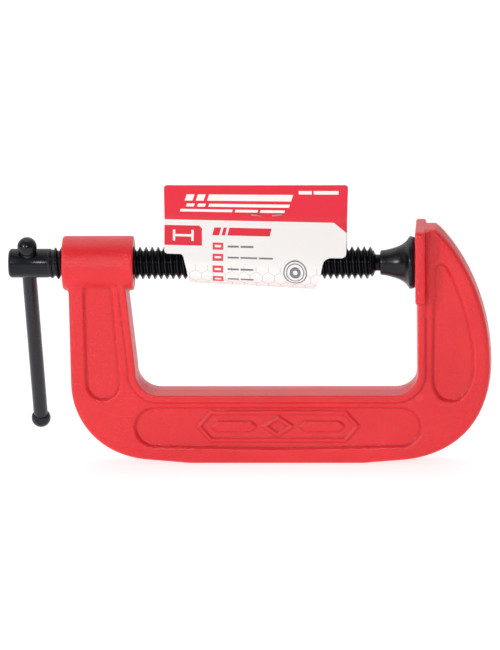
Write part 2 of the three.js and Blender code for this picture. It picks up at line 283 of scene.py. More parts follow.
def throat(inset):
    """The throat's edge from the anvil down, along the spine and up into the boss."""
    lean = math.degrees(math.atan2(ARM_LEAN, AXIS_Z - SPINE_TOP))
    left, right = THROAT_LEFT - inset, THROAT_RIGHT + inset
    floor_z = SPINE_TOP - inset
    corner = THROAT_CORNER + inset
    points = arc(right - corner, floor_z + corner, corner, 0, -90, 12)
    points += arc(left + corner, floor_z + corner, corner, -90, -180 - lean, 12)
    return points + [(left - ARM_LEAN, AXIS_Z)]


outer = [(ARM_LEFT, AXIS_Z), (-85.3, 34)]
outer += bezier((-85.3, 34), (-85.1, 18.6), (-74.3, 3.6), (-54.6, 1.6), 16)
outer += bezier((-54.6, 1.6), (-49, 1.1), (-44, 0.75), (-36, 0), 6)
outer += [(36, 0)] + bezier((36, 0), (44, 0.75), (50, 1.1), (54.9, 1.6), 6)
outer += bezier((54.9, 1.6), (76.5, 4.7), (89.1, 19.8), (89.1, 42.5), 16)
outer += bezier((89.1, 42.5), (89.1, 79.3), (67.9, 99.6), (66.5, ARM_TOP), 20)[:-3]
outer += [(66.5, ARM_TOP), (59, ARM_TOP), (THROAT_RIGHT, 70)]
casting = outline_face(outer + throat(0), 0)
wall = WEB_HALF - EDGE_ROUND
build_up(casting, [(wall * DRAFT, wall), *rounding(EDGE_ROUND)])
mirror(casting)

rib = outline_face([(THROAT_RIGHT, 72)] + throat(0)
                   + [(THROAT_RIGHT + RIB_WIDTH, 72), *throat(RIB_WIDTH)][::-1], 0)
rib_wall = RIB_HALF - RIB_ROUND
build_up(rib, [(rib_wall * DRAFT, rib_wall), *rounding(RIB_ROUND, 3)])
mirror(rib)

left_panel = [(-66.8, 79), (-79.7, 79), (-79.2, 35)]
left_panel += bezier((-79.2, 35), (-79, 24.5), (-64.4, 24), (-63.8, 35), 14)
spine_panel = arc(-50.2, 16.2, 9.1, 90, 262, 14) + [(-25, 6.6), (0, 6.2), (27, 6.6)]
spine_panel += arc(51.6, 16.2, 9.1, -82, 90, 14)
right_panel = [(63.9, 38)] + bezier((63.9, 38), (63.9, 28), (69, 26.2), (72.7, 26.2), 8)
right_panel += bezier((72.7, 26.2), (79, 26.2), (82.6, 34), (82.6, 43), 10)
right_panel += bezier((82.6, 43), (82.6, 56), (78, 72), (71.8, 83.4), 12)
right_panel += bezier((71.8, 83.4), (69.6, 87), (65.2, 87), (64.9, 82), 8)
tools = []
for panel in (left_panel, spine_panel, right_panel):
    tool = outline_face(panel, -WEB_HALF - 0.5, inwards=True)
    build_up(tool, [(0.02, 0.45), (0.2, 0.1), (0.55, 0.55), (0.3, 0.4), (0.3, 0.1)])
    close_back(tool)
    tools.append(mirror(tool))
bpy.ops.object.select_all(action="DESELECT")
bpy.ops.mesh.primitive_cylinder_add(vertices=72, radius=BORE_RADIUS * MM, depth=40 * MM,
                                    location=((BOSS_LEFT + 15) * MM, 0, AXIS_Z * MM),
                                    rotation=(0, math.pi / 2, 0))
cut(casting, join(bpy.context.object, *tools))


def turned(stations, sides=64, closed=False):
    """A piece turned about X: a ring drawn out through each station of (x, radius) in mm.
    Its ends are capped, or joined to each other where it is a closed section."""
    bpy.ops.object.select_all(action="DESELECT")
    x, radius = stations[0]
    bpy.ops.mesh.primitive_circle_add(vertices=sides, radius=radius * MM,
                                      fill_type="NOTHING" if closed else "NGON",
                                      location=(x * MM, 0, 0), rotation=(0, math.pi / 2, 0))
    bpy.ops.object.transform_apply()
    bpy.ops.object.mode_set(mode="EDIT")
    bpy.ops.mesh.select_all(action="SELECT")
    for next_x, next_radius in stations[1:]:
        bpy.ops.mesh.extrude_region_move(
            TRANSFORM_OT_translate={"value": ((next_x - x) * MM, 0, 0)})
        grow = next_radius / radius
        bpy.ops.transform.resize(value=(1, grow, grow), center_override=(0, 0, 0))
        x, radius = next_x, next_radius
    bpy.ops.mesh.select_all(action="SELECT")
    bpy.ops.mesh.remove_doubles(threshold=MM / 1000)
    bpy.ops.mesh.normals_make_consistent(inside=False)
    bpy.ops.object.mode_set(mode="OBJECT")
    return bpy.context.object


def put(obj, place, along=None):
    """Moves a turned piece to its place in mm, with its X turned to point along, and
    leaves the object itself at the origin."""
    select(obj)
    obj.rotation_mode = "QUATERNION"
    if along:
        obj.rotation_quaternion = Vector((1, 0, 0)).rotation_difference(along)
    obj.location = Vector(place) * MM
    bpy.ops.object.transform_apply()
    return obj


# The boss, with its rims rounded and its bore chamfered.
rim = [(BOSS_LEFT + x, BOSS_RADIUS - 0.9 + r) for x, r in
       ((0, 0), (0.07, 0.34), (0.26, 0.64), (0.56, 0.83), (0.9, 0.9))]
section = [(BOSS_LEFT, BORE_RADIUS + BORE_CHAMFER), *rim,
           *[(BOSS_LEFT + BOSS_RIGHT - x, r) for x, r in rim[::-1]],
           (BOSS_RIGHT, BORE_RADIUS + BORE_CHAMFER), (BOSS_RIGHT - BORE_CHAMFER, BORE_RADIUS),
           (BOSS_LEFT + BORE_CHAMFER, BORE_RADIUS), (BOSS_LEFT, BORE_RADIUS + BORE_CHAMFER)]
boss = put(turned(section, 96, closed=True), (0, 0, AXIS_Z))

# The anvil's plate: its four corners are rounded first, then all its edges a little.
bpy.ops.object.select_all(action="DESELECT")
bpy.ops.mesh.primitive_cube_add(size=MM)
anvil = bpy.context.object
anvil.scale = (ANVIL_THICK, ANVIL_WIDE, ANVIL_TALL)
anvil.location = Vector((ANVIL_X + ANVIL_THICK / 2, 0, ANVIL_HIGH - ANVIL_TALL / 2)) * MM
bpy.ops.object.transform_apply()
bpy.ops.object.mode_set(mode="EDIT")
bpy.ops.mesh.select_mode(type="EDGE")
bpy.ops.mesh.select_all(action="DESELECT")
bpy.ops.object.mode_set(mode="OBJECT")
for edge in anvil.data.edges:
    a, b = (anvil.data.vertices[i].co for i in edge.vertices)
    edge.select = abs(a.x - b.x) > MM
bpy.ops.object.mode_set(mode="EDIT")
bpy.ops.mesh.bevel(offset=ANVIL_CORNER * MM, segments=4)
bpy.ops.mesh.select_mode(type="VERT")
bpy.ops.object.mode_set(mode="OBJECT")
modify(anvil, "BEVEL", width=ANVIL_EDGE * MM, segments=3, limit_method="ANGLE",
       angle_limit=math.radians(60))

# The cast fillet down each side of the arm, where it meets the back of the anvil.
FILLET = 3.8
fillets = []
for side in (-1, 1):
    curve = arc(ANVIL_X + ANVIL_THICK + FILLET, WEB_HALF - 0.6 + FILLET, FILLET, 180, 270, 8)
    corners = curve + [(curve[-1][0], 5), (ANVIL_X + 1, 5), (ANVIL_X + 1, curve[0][1])]
    bpy.ops.object.select_all(action="DESELECT")
    bpy.ops.mesh.primitive_circle_add(vertices=len(corners), fill_type="NGON")
    fillet = bpy.context.object
    for corner, (x, y) in zip(fillet.data.vertices, corners):
        corner.co = (x * MM, side * y * MM, (ANVIL_HIGH - ANVIL_TALL + 1.2) * MM)
    bpy.ops.object.mode_set(mode="EDIT")
    bpy.ops.mesh.select_all(action="SELECT")
    bpy.ops.mesh.extrude_region_move(
        TRANSFORM_OT_translate={"value": (0, 0, (ANVIL_TALL - 2) * MM)})
    bpy.ops.mesh.select_all(action="SELECT")
    bpy.ops.mesh.normals_make_consistent(inside=False)
    bpy.ops.object.mode_set(mode="OBJECT")
    fillets.append(fillet)


def build_up_inner(obj, wide):
    """Leaves a raised rim and sinks what is inside it back below the panel's floor."""
    select(obj)
    top = max(obj.data.polygons, key=lambda face: len(face.vertices))
    for face in obj.data.polygons:
        face.select = face == top
    bpy.ops.object.mode_set(mode="EDIT")
    for inset, rise in ((wide, 0), (0.15, -0.15), (0.02, -0.75)):
        bpy.ops.mesh.inset(thickness=inset * MM, depth=rise * MM)
    bpy.ops.object.mode_set(mode="OBJECT")


def ridge(points, wide, tall):
    """A raised line round an outline on the floor of the spine's panel."""
    base = WEB_HALF - PANEL_DEPTH - 0.6
    obj = outline_face(points, -base)
    build_up(obj, [(0.02, 0.6 + tall - 0.15), (0.15, 0.15)])
    if wide:
        build_up_inner(obj, wide)
    close_back(obj)
    return mirror(obj)


# A plain raised motif on the spine: a six-sided line, a diamond and two bars.
MOTIF_X, MOTIF_Z = 0.8, 16.4
MOTIF_TALL = 0.62
cartouche = [(-33.5, 0), (-28, -6.4), (28, -6.4), (33.5, 0), (28, 6.4), (-28, 6.4)]
diamond = [(-6.5, 0), (0, -4.2), (6.5, 0), (0, 4.2)]
bar = [(9, 0), (11.5, -2), (25, -2), (27.5, 0), (25, 2), (11.5, 2)]
motif = [ridge([(x + MOTIF_X, z + MOTIF_Z) for x, z in shape], wide, MOTIF_TALL)
         for shape, wide in ((cartouche, 0.7), (diamond, 0.7), (bar, 0),
                             ([(-x, z) for x, z in bar], 0))]

casting = join(casting, rib, boss, anvil, *fillets, *motif)
casting.name = "frame_casting"
modify(casting, "REMESH", mode="VOXEL", voxel_size=VOXEL * MM)
modify(casting, "SMOOTH", factor=0.5, iterations=3)


def smooth_zone(obj, weight_of, repeats):
    """Smooths hard where weight_of(x, y, z), in mm, says 1, and not where it says 0."""
    spots = numpy.empty(len(obj.data.vertices) * 3, numpy.float32)
    obj.data.vertices.foreach_get("co", spots)
    weights = numpy.clip(weight_of(*(spots.reshape(-1, 3).T / MM)), 0, 1)
    group = obj.vertex_groups.new(name="zone")
    for level in range(1, 9):
        group.add(numpy.nonzero(numpy.round(weights * 8) == level)[0].tolist(),
                  level / 8, "REPLACE")
    modify(obj, "SMOOTH", factor=0.5, iterations=repeats, vertex_group=group.name)
    obj.vertex_groups.clear()


def boss_fillet(x, y, z):
    """1 in the corner between the left arm and the boss, fading out round it."""
    arm = numpy.maximum.reduce([numpy.abs(y) - WEB_HALF, ARM_LEFT - x,
                                x - THROAT_LEFT + ARM_LEAN])
    reach = numpy.hypot(arm, numpy.hypot(y, z - AXIS_Z) - BOSS_RADIUS)
    return numpy.where(z < AXIS_Z - 3, 1.35 - reach / 2.2, 0)


def anvil_fillet(x, y, z):
    """1 in the corner between the right arm and the anvil's back, fading out round it."""
    reach = numpy.hypot(x - ANVIL_X - ANVIL_THICK, numpy.abs(y) - WEB_HALF + 0.6)
    return numpy.where((z > 62) & (z < ARM_TOP - 4), 1.5 - reach / 4, 0)


smooth_zone(casting, boss_fillet, 30)
smooth_zone(casting, anvil_fillet, 20)
triangles = 2 * len(casting.data.polygons)
modify(casting, "DECIMATE", ratio=min(1, MOST_TRIANGLES / triangles))
select(casting)
bpy.ops.object.shade_smooth()


def linear(hex_colour):
    """A linear colour from an sRGB one."""
    parts = [int(hex_colour[i:i + 2], 16) / 255 for i in (1, 3, 5)]
    return tuple(p / 12.92 if p <= 0.04045 else ((p + 0.055) / 1.055) ** 2.4
                 for p in parts) + (1,)


def new_material(name):
    """An empty material and its node tree, shader and object coordinates."""
    material = bpy.data.materials.new(name)
    material.use_nodes = True
    tree = material.node_tree
    return material, tree, tree.nodes["Principled BSDF"], \
        add(tree, "ShaderNodeTexCoord").outputs["Object"]


# Thick dipped enamel: a bright red with a soft gloss, an orange-peel skin about 2 mm
# across, and a fine sandy grit from the mould that breaks the highlights into specks. Every
# corner is painted a deeper red, partly for the enamel pooling there and partly as painted
# shade. It draws thin and pale along the edges. The grit is drawn at 0.65 mm, a little
# coarser than it is, so that it shows.
enamel, tree, shader, place = new_material("dipped red enamel on cast iron")
peel = add(tree, "ShaderNodeTexNoise", {"Vector": place, "Scale": 1 / (1.9 * MM), "Detail": 2})
grit = add(tree, "ShaderNodeTexNoise", {"Vector": place, "Scale": 1 / (0.65 * MM), "Detail": 3})
patch = add(tree, "ShaderNodeTexNoise", {"Vector": place, "Scale": 1 / (28 * MM), "Detail": 3})
tint = add(tree, "ShaderNodeValToRGB", {"Fac": patch.outputs["Fac"]})
tint.color_ramp.elements[0].position, tint.color_ramp.elements[1].position = 0.3, 0.7
tint.color_ramp.elements[0].color = linear("#DC1A24")
tint.color_ramp.elements[1].color = linear("#E7212A")
relief = add(tree, "ShaderNodeNewGeometry").outputs["Pointiness"]
# Concave corners turn a deeper red (#B5111C): partly the enamel pooling there, and partly painted
# shade.
pooling_and_painted_shade = add(tree, "ShaderNodeMapRange", {"Value": relief, "From Min": 0.497, "From Max": 0.475,
                                          "To Max": 0.9})
drawn_thin = add(tree, "ShaderNodeMapRange", {"Value": relief, "From Min": 0.51, "From Max": 0.54,
                                              "To Max": 0.35})
pooled_and_shaded_red = add(tree, "ShaderNodeMixRGB", {"Fac": pooling_and_painted_shade.outputs["Result"],
                                      "Color1": tint.outputs["Color"], "Color2": linear("#B5111C")})
thin = add(tree, "ShaderNodeMixRGB", {"Fac": drawn_thin.outputs["Result"],
                                      "Color1": pooled_and_shaded_red.outputs["Color"], "Color2": linear("#F0383C")})
skin = add(tree, "ShaderNodeBump", {"Height": peel.outputs["Fac"], "Distance": 0.08 * MM,
                                    "Strength": 0.6})
rough = add(tree, "ShaderNodeBump", {"Height": grit.outputs["Fac"], "Distance": 0.3 * MM,
                                     "Strength": 0.9, "Normal": skin.outputs["Normal"]})
tree.links.new(thin.outputs["Color"], shader.inputs["Base Color"])
tree.links.new(rough.outputs["Normal"], shader.inputs["Normal"])
shader.inputs["Roughness"].default_value = 0.3
casting.data.materials.clear()
casting.data.materials.append(enamel)
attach(casting, "frame")
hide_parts("frame")


# ---- Screw ----
# Rolled right-hand thread on a steel rod: the plain head is drilled across for the bar, the
# far end is turned down to a neck and a ball that is closed into the pad's socket.
PITCH = 2.5
CREST = (screw_high.z - screw_low.z) / 2 / MM  # the thread's radius at its crest
ROOT = 5.0  # and at its root
HEAD_X = screw_low.x / MM
HEAD_RADIUS = 6
THREAD_FROM = -93.9  # where the thread's run-in starts
THREAD_TO = 39.2  # where its end chamfer starts
NECK_RADIUS = 3.4
BALL_RADIUS = 4.3
BALL_X = screw_high.x / MM - BALL_RADIUS
PHASE = -0.5  # sets where the crests fall along the screw
TURNS = 59  # more than are kept: both ends are cut off below

# One pitch of the rolled V from root to root, swept round and along.
tooth = [(0, 0), (0.16, 0.04), (0.34, 0.26), (0.62, 0.82), (0.9, 1.38), (1.04, 1.64),
         (1.14, 1.73), (1.25, 1.75)]
tooth += [(PITCH - x, r) for x, r in tooth[-2::-1]]
bpy.ops.object.select_all(action="DESELECT")
bpy.ops.mesh.primitive_grid_add(x_subdivisions=len(tooth) - 1, y_subdivisions=1, size=MM)
thread = bpy.context.object
bpy.ops.object.mode_set(mode="EDIT")
bpy.ops.mesh.select_all(action="DESELECT")
bpy.ops.object.mode_set(mode="OBJECT")
for point in thread.data.vertices:
    point.select = point.co.y > 0
bpy.ops.object.mode_set(mode="EDIT")
bpy.ops.mesh.delete(type="VERT")
bpy.ops.object.mode_set(mode="OBJECT")
start = THREAD_FROM - 3 * PITCH + PHASE
for point, (x, rise) in zip(sorted(thread.data.vertices, key=lambda v: v.co.x), tooth):
    point.co = ((start + x) * MM, 0, (ROOT + rise) * MM)
modify(thread, "SCREW", axis="X", angle=math.tau, screw_offset=PITCH * MM, iterations=TURNS,
       steps=48, render_steps=48)
bpy.ops.object.mode_set(mode="EDIT")
bpy.ops.mesh.select_all(action="SELECT")
bpy.ops.mesh.remove_doubles(threshold=MM / 500)
THREAD_END = THREAD_TO + 2.35  # where the chamfer has come down to the neck
for plane_x, inner in ((THREAD_FROM - 1, True), (THREAD_TO + 1.7, False)):
    bpy.ops.mesh.select_all(action="SELECT")
    bpy.ops.mesh.bisect(plane_co=(plane_x * MM, 0, 0), plane_no=(1, 0, 0), use_fill=True,
                        clear_inner=inner, clear_outer=not inner, threshold=MM / 10000)
bpy.ops.mesh.select_all(action="SELECT")
bpy.ops.mesh.normals_make_consistent(inside=False)
bpy.ops.object.mode_set(mode="OBJECT")
for point in thread.data.vertices:
    x, radius = point.co.x / MM, math.hypot(point.co.y, point.co.z) / MM
    run_in = HEAD_RADIUS - 0.05 + (CREST - HEAD_RADIUS) * min(1, max(0, (x - THREAD_FROM) / 5))
    chamfer = CREST - max(0, x - THREAD_TO) * 1.05
    allowed = min(run_in, chamfer)
    if radius > allowed:
        point.co.y *= allowed / radius
        point.co.z *= allowed / radius

ball_start = math.asin(NECK_RADIUS / BALL_RADIUS)
ball = [(BALL_X - BALL_RADIUS * math.cos(a), BALL_RADIUS * math.sin(a))
        for a in (ball_start + (math.pi - 0.08 - ball_start) * i / 14 for i in range(15))]
shank = turned([(HEAD_X, HEAD_RADIUS - 1.1), (HEAD_X + 0.1, HEAD_RADIUS - 0.8),
                (HEAD_X + 0.75, HEAD_RADIUS - 0.12), (HEAD_X + 1, HEAD_RADIUS),
                (THREAD_FROM, HEAD_RADIUS), (THREAD_FROM + 6, ROOT - 0.1),
                (THREAD_TO + 1.6, ROOT - 0.1), (THREAD_END, NECK_RADIUS + 0.15),
                (THREAD_END + 0.3, NECK_RADIUS), *ball], 96)

HANDLE_LEAN = math.radians(30.3)
HANDLE_UP = Vector((0, -math.sin(HANDLE_LEAN), math.cos(HANDLE_LEAN)))
bar_low, bar_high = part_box("handle_bar")
BAR_RADIUS = 3
HANDLE_X = (bar_low.x + bar_high.x) / 2 / MM
hole = turned([(-9, 4.6), (-5.6, 3.6), (-5, 3.3), (5, 3.3), (5.6, 3.6), (9, 4.6)], 48)
cut(shank, put(hole, (HANDLE_X, 0, 0), HANDLE_UP))
cut(shank, thread, "UNION")
screw = put(shank, (0, 0, AXIS_Z))


def dress(obj, name, finish, crease):
    """Names a piece, smooths it but for edges sharper than crease degrees, and gives it
    its finish."""
    obj.name = name
    select(obj)
    bpy.ops.object.shade_smooth_by_angle(angle=math.radians(crease))
    obj.data.materials.clear()
    obj.data.materials.append(finish)


def black_finish(name, tone, worn, roughness, grain, specular):
    """Blackened steel: near black with a bluish cast, an oily gloss, fine marks grain mm
    across, and edges rubbed a little paler."""
    material, tree, shader, place = new_material(name)
    marks = add(tree, "ShaderNodeTexNoise", {"Vector": place, "Scale": 1 / (grain * MM),
                                             "Detail": 4})
    cloud = add(tree, "ShaderNodeTexNoise", {"Vector": place, "Scale": 1 / (6 * MM),
                                             "Detail": 2})
    relief = add(tree, "ShaderNodeNewGeometry").outputs["Pointiness"]
    edge = add(tree, "ShaderNodeMapRange", {"Value": relief, "From Min": 0.5, "From Max": 0.62})
    colour = add(tree, "ShaderNodeMixRGB", {"Fac": edge.outputs["Result"], "Color1": linear(tone),
                                            "Color2": linear(worn)})
    gloss = add(tree, "ShaderNodeMapRange", {"Value": cloud.outputs["Fac"], "From Min": 0.3,
                                             "From Max": 0.7, "To Min": roughness * 0.8,
                                             "To Max": roughness * 1.25})
    bump = add(tree, "ShaderNodeBump", {"Height": marks.outputs["Fac"], "Distance": 0.015 * MM,
                                        "Strength": 0.4})
    tree.links.new(colour.outputs["Color"], shader.inputs["Base Color"])
    tree.links.new(gloss.outputs["Result"], shader.inputs["Roughness"])
    tree.links.new(bump.outputs["Normal"], shader.inputs["Normal"])
    shader.inputs["Specular IOR Level"].default_value = specular
    return material


rolled_black = black_finish("black oxide on rolled steel, oiled", "#0A0B0F", "#2A2B31",
                            0.17, 0.4, 0.18)
dress(screw, "screw_spindle", rolled_black, 32)
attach(screw, "screw")
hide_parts("screw")

# ---- Swivel pad ----
# A bell-shaped steel shoe, turned and blackened: its lip is closed in behind the screw's
# ball, and its face has two fine turned rings.
PAD_BACK = pad_low.x / MM
socket = BALL_RADIUS + 0.3
lip = math.pi - math.asin((NECK_RADIUS + 0.3) / socket)
inside = [(BALL_X + socket * math.cos(a), socket * math.sin(a))
          for a in (0.08 + (lip - 0.08) * i / 12 for i in range(13))]
bell = [(0.15, 3.7), (0, 3.85), (0, 4.55), (0.12, 4.85), (0.4, 5.05), (0.9, 5.14), (1.9, 5.25),
        (3, 5.47), (4.1, 5.75), (5.2, 6.03), (6.2, 6.35), (7.2, 6.72), (8.2, 7.15), (9.1, 7.66),
        (10, 8.3), (10.7, 8.95), (11.3, 9.7), (11.75, 10.4), (12, 10.75), (12.25, 10.88),
        (12.6, 10.9), (13.4, 10.75), (14.05, 10.5), (14.3, 10.2)]
face = [(14.3, 8.1), (14.12, 7.9), (14.3, 7.7), (14.3, 4.1), (14.12, 3.9), (14.3, 3.7),
        (14.3, 0.5)]
pad = put(turned(inside + [(PAD_BACK + x, r) for x, r in bell + face], 96), (0, 0, AXIS_Z))
turned_black = black_finish("black oxide on turned steel, glossy", "#0D0E13", "#2C2D34",
                            0.24, 0.5, 0.3)
dress(pad, "swivel_pad_shoe", turned_black, 38)
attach(pad, "pad")
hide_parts("swivel_pad")

# ---- Handle bar and its ball ends ----
# A plain drawn rod slides through the head. Each ball is drilled, pressed over the rod's end
# and upset a little, which leaves a small flat at its tip.
handle_hole = Vector((HANDLE_X, 0, AXIS_Z))


def middle(node):
    """The middle of a CAD node's box, in mm."""
    return sum(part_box(node), Vector()) / 2 / MM


seats = {end: (middle(f"ball_end_{end}") - handle_hole).dot(HANDLE_UP)
         for end in ("upper", "lower")}
TIP = 1.6  # how deep the rod's end sits in each ball's middle
rod = turned([(seats["lower"] - TIP, BAR_RADIUS - 0.4), (seats["lower"] - TIP + 0.4, BAR_RADIUS),
              (seats["upper"] + TIP - 0.4, BAR_RADIUS), (seats["upper"] + TIP, BAR_RADIUS - 0.4)])
rod = put(rod, handle_hole, HANDLE_UP)
drawn_black = black_finish("black oxide on drawn steel rod", "#0F1015", "#2B2C33",
                           0.24, 0.35, 0.28)
dress(rod, "handle_rod", drawn_black, 32)
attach(rod, "handle")
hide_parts("handle_bar")

BALL_END = 4.05  # radius of the ball on each end
for end, outwards in (("upper", 1), ("lower", -1)):
    mouth = BAR_RADIUS + 0.03
    opening = math.asin((mouth + 0.25) / BALL_END)
    flat = math.pi - 0.32
    shell = [(-BALL_END * math.cos(a), BALL_END * math.sin(a))
             for a in (opening + (flat - opening) * i / 20 for i in range(21))]
    drilled = [(1.9, 0.3), (1.9, mouth - 0.5), (1.6, mouth), (shell[0][0] + 0.3, mouth)]
    tip = [(BALL_END - 0.16, 0.9), (BALL_END - 0.16, 0.3)]
    knob = put(turned(drilled + shell + tip, 48),
               handle_hole + HANDLE_UP * seats[end], HANDLE_UP * outwards)
    dress(knob, f"ball_knob_{end}", turned_black, 40)
    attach(knob, "handle")
    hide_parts(f"ball_end_{end}")

# ---- Hang card ----
# One strip of white coated board, printed in red and grey and die cut, is folded round the
# screw with both ends level and stapled above it. It was folded a little askew, so its
# loop hangs lower at one end.
card_low, card_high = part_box("hang_card")
CARD_LEFT = card_low.x / MM
CARD_RIGHT = card_high.x / MM
CARD_TOP = card_high.z / MM
BOARD = 0.42
LOOP = 7.75  # radius of the loop, to the middle of the board
LOOP_Z = AXIS_Z - 1
PINCH_Z = AXIS_Z + 19
SKEW_X = -10  # the skew turns about here
PANEL_Y = 0.27  # from the fold's middle plane to the middle of each panel
LOOP_DOWN = 47.5  # how far down the strip the loop is lowest
opening_angle = math.asin(LOOP / (PINCH_Z - LOOP_Z))
PANEL_RUN = CARD_TOP - PINCH_Z
FREE_RUN = math.sqrt((PINCH_Z - LOOP_Z) ** 2 - LOOP ** 2)
STRIP = 2 * (PANEL_RUN + FREE_RUN) + LOOP * (math.pi + 2 * opening_angle)


def fold(down):
    """(y, z) of the folded strip, this far down it from its front top edge."""
    if down > STRIP / 2:
        y, z = fold(STRIP - down)
        return -y, z
    if down <= PANEL_RUN:
        return -PANEL_Y, CARD_TOP - 0.1 - down
    run = down - PANEL_RUN
    if run <= FREE_RUN:
        return (-PANEL_Y * (1 - run / FREE_RUN) - math.sin(opening_angle) * run,
                PINCH_Z - math.cos(opening_angle) * run)
    turn = math.pi - opening_angle + (run - FREE_RUN) / LOOP
    return LOOP * math.cos(turn), LOOP_Z + LOOP * math.sin(turn)


def hung(across, down):
    """Where a point of the flat strip is, once folded and a little askew, in mm."""
    reach = min(1.6, down, STRIP - down)
    near = [fold(down + step * reach / 2) for step in range(-2, 3)]
    from_end = min(down, STRIP - down)
    tilt = numpy.interp(from_end, (0, 14, 29, LOOP_DOWN), (0.0025, 0.0237, 0.028, 0.06))
    bow = 0.3 * math.sin(math.pi * (across - CARD_LEFT) / (CARD_RIGHT - CARD_LEFT)) \
        * max(0, 1 - from_end / 16)
    return (across, sum(y for y, z in near) / 5 - bow,
            sum(z for y, z in near) / 5 - tilt * (across - SKEW_X)
            - 0.55 * (from_end / LOOP_DOWN) ** 2)


# The die-cut edges, as (down, in from the card's left or right edge).
left_edge = [(0, 1.3), (0.1, 0.85), (0.4, 0.4), (0.8, 0.1), (1.3, 0), (27.9, 0.1), (28.4, 0.15),
             (28.9, 0.35), (29.2, 0.65), (29.4, 1), (29.52, 1.5), (29.56, 6.5), (29.7, 7.1),
             (30, 7.5), (30.5, 7.85), (31.3, 8.1), (33, 8.5), (36.4, 9.3), (43.3, 10.3),
             (STRIP / 2, 10.6)]
right_edge = [(0, 1.3), (0.1, 0.85), (0.4, 0.4), (0.8, 0.15), (1.3, 0.1), (14, 0.6), (27.4, 0.9),
              (28.2, 1), (28.9, 1.4), (29.3, 1.9), (29.5, 2.5), (29.6, 3.2), (29.65, 7.6),
              (29.9, 8.3), (30.3, 9.2), (31.2, 10.2), (32.5, 10.6), (34.4, 11.05), (38, 11.8),
              (41.5, 12.9), (44.9, 14.4), (STRIP / 2, 14.7)]
half_rows = {down for down, _ in left_edge + right_edge}
half_rows |= {0.8 * i for i in range(1, 59) if abs(0.8 * i - 29.5) > 0.5}
rows = sorted(half_rows | {STRIP - down for down in half_rows})
COLUMNS = 40
bpy.ops.object.select_all(action="DESELECT")
bpy.ops.mesh.primitive_grid_add(x_subdivisions=COLUMNS, y_subdivisions=len(rows) - 1, size=1)
card = bpy.context.object
flat = []
for point in card.data.vertices:
    down = rows[round((0.5 - point.co.y) * (len(rows) - 1))]
    ends = [numpy.interp(min(down, STRIP - down), *zip(*edge))
            for edge in (left_edge, right_edge)]
    share = point.co.x + 0.5
    across = (CARD_LEFT + ends[0]) * (1 - share) + (CARD_RIGHT - ends[1]) * share
    flat.append((across, down))
for point, spot in zip(card.data.vertices, flat):
    point.co = Vector(hung(*spot)) * MM
layout = card.data.uv_layers[0]
for corner in card.data.loops:
    across, down = flat[corner.vertex_index]
    layout.data[corner.index].uv = ((across - CARD_LEFT) / (CARD_RIGHT - CARD_LEFT),
                                    1 - down / STRIP)
card.data.update()
if card.data.polygons[0].normal.y < 0:  # the first face is on the back panel
    card.data.flip_normals()

# Coated board: the ink lies under a satin varnish, with a faint fibre tooth 0.4 mm across.
print_finish, tree, shader, _ = new_material("printed coated board, satin varnish")
coordinates = add(tree, "ShaderNodeTexCoord").outputs["UV"]
sheet = add(tree, "ShaderNodeMapping", {
    "Vector": coordinates, "Location": (CARD_LEFT, STRIP, 0),
    "Scale": (CARD_RIGHT - CARD_LEFT, -STRIP, 1)}).outputs["Vector"]
axes = add(tree, "ShaderNodeSeparateXYZ", {"Vector": sheet})
ACROSS, DOWN = axes.outputs["X"], axes.outputs["Y"]


def within(value, spans):
    """1 where the value lies in any of the spans, in mm, and 0 elsewhere."""
    inside = None
    for start, end in spans:
        here = add(tree, "ShaderNodeMath", {0: value, 1: (start + end) / 2, 2: (end - start) / 2},
                   operation="COMPARE").outputs[0]
        inside = here if inside is None else \
            add(tree, "ShaderNodeMath", {0: inside, 1: here}, operation="MAXIMUM").outputs[0]
    return inside


def slanted(lean):
    """The distance across, leaning by this much for each mm down."""
    return add(tree, "ShaderNodeMath", {0: DOWN, 1: lean, 2: ACROSS},
               operation="MULTIPLY_ADD").outputs[0]


def ink(under, colour, rows, columns=None):
    """Prints a colour over what is under it, where the rows and any columns given are 1."""
    mask = rows if columns is None else \
        add(tree, "ShaderNodeMath", {0: rows, 1: columns}, operation="MULTIPLY").outputs[0]
    return add(tree, "ShaderNodeMixRGB", {"Fac": mask, "Color1": under,
                                          "Color2": linear(colour)}).outputs["Color"]


PAPER, RED, GREY = "#F4F0ED", "#E42038", "#77757A"
fibre = add(tree, "ShaderNodeTexNoise", {"Vector": sheet, "Scale": 1 / 0.4, "Detail": 3})
paper = add(tree, "ShaderNodeValToRGB", {"Fac": fibre.outputs["Fac"]})
paper.color_ramp.elements[0].color = linear("#F0ECE9")
paper.color_ramp.elements[1].color = linear("#F8F4F1")

# A pale honeycomb of 5 mm cells on the lower part of each panel: the nearer of two
# rectangular lattices is the cell, and its six edges are drawn.
CELL = 5.0
cells = []
for shift in (0, 0.5):
    moved = add(tree, "ShaderNodeVectorMath", {
        0: sheet, 1: (1 / CELL, 1 / CELL, 0),
        2: (40 + shift, 40 * math.sqrt(3) + shift * math.sqrt(3), 0)}, operation="MULTIPLY_ADD")
    wrapped = add(tree, "ShaderNodeVectorMath", {0: moved.outputs[0], 1: (1, math.sqrt(3), 1)},
                  operation="MODULO")
    centred = add(tree, "ShaderNodeVectorMath", {
        0: wrapped.outputs[0], 1: (0.5, math.sqrt(3) / 2, 0)}, operation="SUBTRACT")
    size = add(tree, "ShaderNodeVectorMath", {0: centred.outputs[0]}, operation="LENGTH")
    cells.append((centred.outputs[0], size.outputs["Value"]))
nearer = add(tree, "ShaderNodeMath", {0: cells[0][1], 1: cells[1][1]}, operation="LESS_THAN")
cell = add(tree, "ShaderNodeMixRGB", {"Fac": nearer.outputs[0], "Color1": cells[1][0],
                                      "Color2": cells[0][0]})
folded = add(tree, "ShaderNodeVectorMath", {0: cell.outputs["Color"]}, operation="ABSOLUTE")
